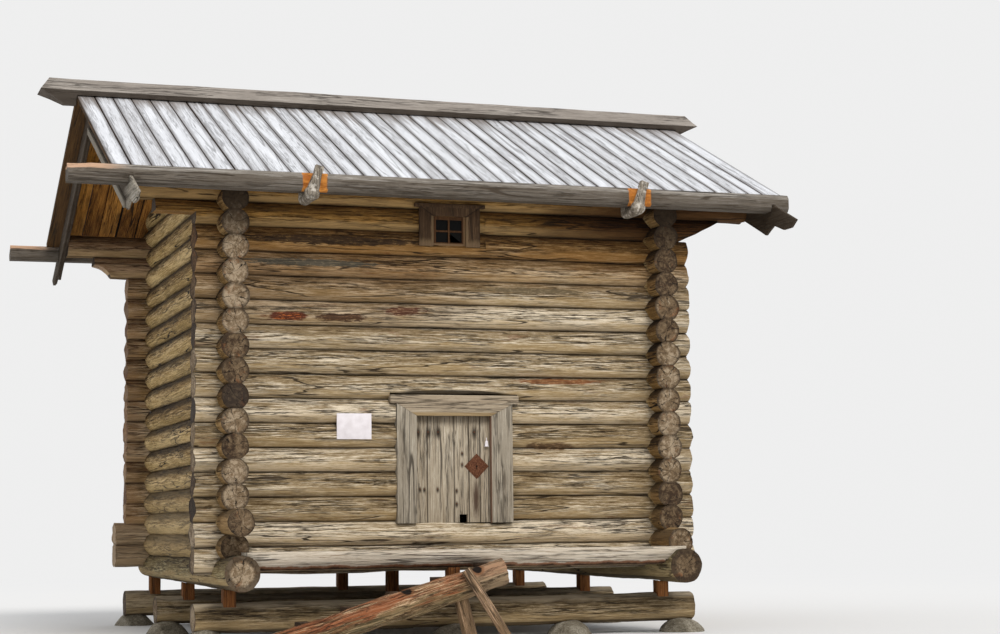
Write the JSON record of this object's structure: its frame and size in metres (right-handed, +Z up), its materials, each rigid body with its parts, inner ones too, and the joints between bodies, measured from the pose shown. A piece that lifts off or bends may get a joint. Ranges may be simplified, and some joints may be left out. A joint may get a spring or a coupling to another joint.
{
  "type": "raised log granary",
  "caption": "Small storehouse of round saddle-notched logs raised on posts and sleepers, with a low door, a window and a board roof held by root-hooked gutter logs.",
  "frame": {"origin": "middle of the object's box in X and Y, at ground level under the boulders", "axes": "+X to the right along the front wall and the ridge, -Y out of the front with the door and stair, +Z up"},
  "size_m": [7.63, 6.86, 5.9179],
  "materials": {
    "boulder": "rough, lichen-grey",
    "sleeper_log": "weathered round log, bleached on top",
    "post_wood": "squared post, red-brown",
    "cross_log": "weathered log, greenish ochre",
    "wall_log": "weathered log, tan-grey with cracks",
    "side_log": "weathered log, olive ochre",
    "eave_log": "sheltered log, warm yellow-brown",
    "floor_wood": "sawn boards",
    "roof_board": "bleached boards, silver-grey",
    "ridge_wood": "hewn log, grey",
    "gutter_wood": "hewn log, grey",
    "hook_wood": "peeled root pole, mottled grey",
    "rake_wood": "weathered board, grey",
    "frame_wood": "hewn timber, grey",
    "leaf_wood": "hewn boards, silver-grey",
    "lock_iron": "rusty wrought plate",
    "casing_wood": "dark brown stained boards",
    "sash_wood": "orange-brown paint, worn",
    "pane_glass": "old clear panes",
    "notice_paint": "white enamel",
    "slab_wood": "split log, bleached",
    "stair_wood": "peeled log, cracked",
    "tread_wood": "dark worn blocks",
    "leg_wood": "split pole"
  },
  "bodies": {
    "building": {"stones_front": "boulder", "stones_middle": "boulder", "stones_rear": "boulder", "sleeper_front": "sleeper_log", "sleeper_middle": "sleeper_log", "sleeper_rear": "sleeper_log", "posts_front": "post_wood", "posts_middle": "post_wood", "posts_rear": "post_wood", "cross_log_left": "cross_log", "cross_log_right": "cross_log", "floor_bearer": "wall_log", "floor_boards": "floor_wood", "front_wall_lower": "wall_log", "front_wall_left": "wall_log", "front_wall_right": "wall_log", "front_wall_upper": "wall_log", "front_bracket_log": "eave_log", "front_plate": "eave_log", "left_wall": "side_log", "right_wall": "side_log", "rear_wall": "wall_log", "rear_bracket_log": "eave_log", "rear_plate": "eave_log", "left_gable": "side_log", "right_gable": "side_log", "purlins": "eave_log", "roof_front": "roof_board", "roof_rear": "roof_board", "ridge_log": "ridge_wood", "gutter_front": "gutter_wood", "gutter_rear": "gutter_wood", "hooks_front": "hook_wood", "hooks_rear": "hook_wood", "rakes_left": "rake_wood", "rakes_right": "rake_wood", "door_posts": "frame_wood", "door_lintel": "frame_wood", "window_casing": "casing_wood", "window_sash": "sash_wood", "window_glass": "pane_glass", "notice_plate": "notice_paint", "landing_slab": "slab_wood", "stair_logs": "stair_wood", "stair_treads": "tread_wood", "stair_legs": "leg_wood"},
    "door": {"door_leaf": "leaf_wood", "door_battens": "leaf_wood", "lock_plate": "lock_iron"}
  },
  "joints": [
    {"name": "door_hinge", "type": "hinge", "parent": "building", "child": "door", "pos_m": [-0.303, -2.26, 1.135], "axis": [0, 0, 1], "range_deg": [0, 90]}
  ]
}
